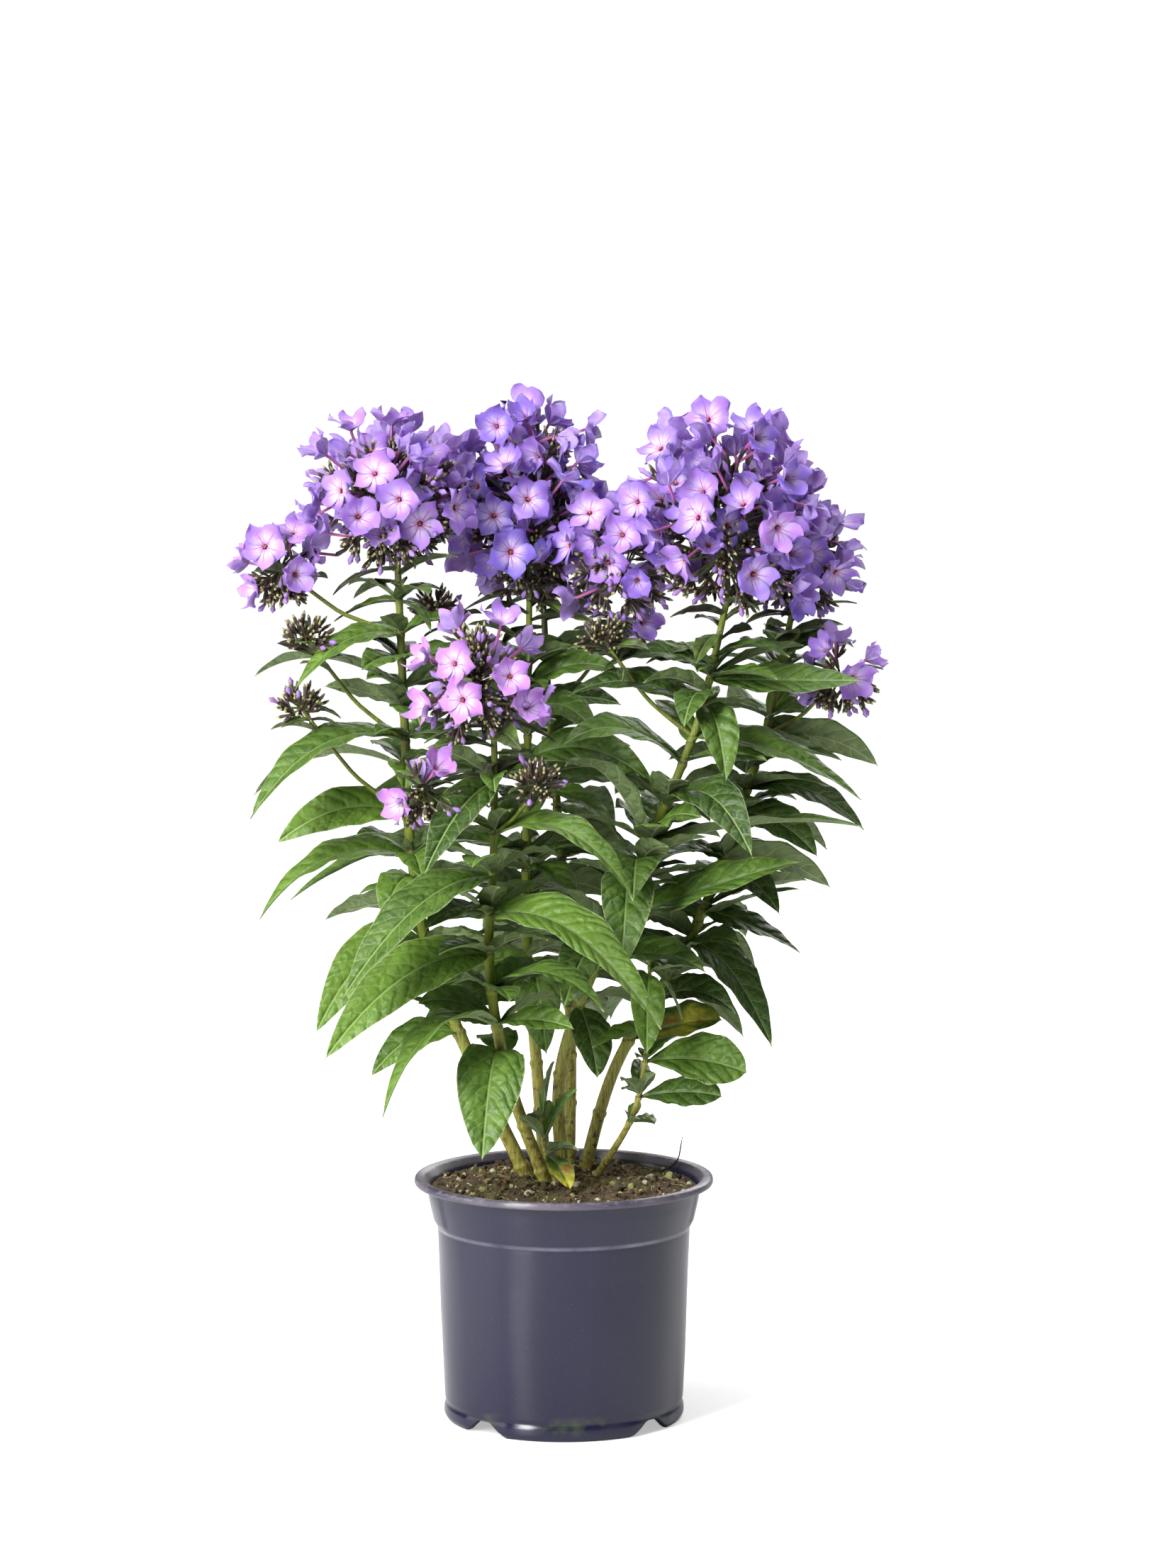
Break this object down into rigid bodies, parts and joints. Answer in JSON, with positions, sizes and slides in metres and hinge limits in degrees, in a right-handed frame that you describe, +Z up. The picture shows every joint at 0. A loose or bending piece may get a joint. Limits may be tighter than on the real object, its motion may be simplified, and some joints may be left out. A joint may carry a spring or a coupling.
{
  "type": "potted garden phlox plant in flower",
  "caption": "Upright perennial garden phlox with leafy stems and domed lavender flower heads, growing in a round nursery pot filled with soil.",
  "frame": {"origin": "on the pot's axis, at the level its feet stand on", "axes": "+Z up along the pot's axis, -Y towards the front of the plant"},
  "size_m": [0.4026, 0.2793, 0.6457],
  "materials": {
    "pot_plastic": "satin, slightly scuffed",
    "potting_soil": "loose, matte",
    "foliage": "matte, finely veined",
    "blossom": "soft, matte"
  },
  "bodies": {
    "root": {"pot": "pot_plastic", "soil": "potting_soil", "stem_front": "foliage", "stem_left": "foliage", "stem_right": "foliage", "stem_shoot": "foliage", "stem_sprig": "foliage", "stem_far_right": "foliage", "stem_back": "foliage", "stem_rear": "foliage", "head_front": "blossom", "head_left": "blossom", "head_right": "blossom", "head_far_right": "blossom", "head_back": "blossom", "head_rear": "blossom"}
  },
  "joints": []
}
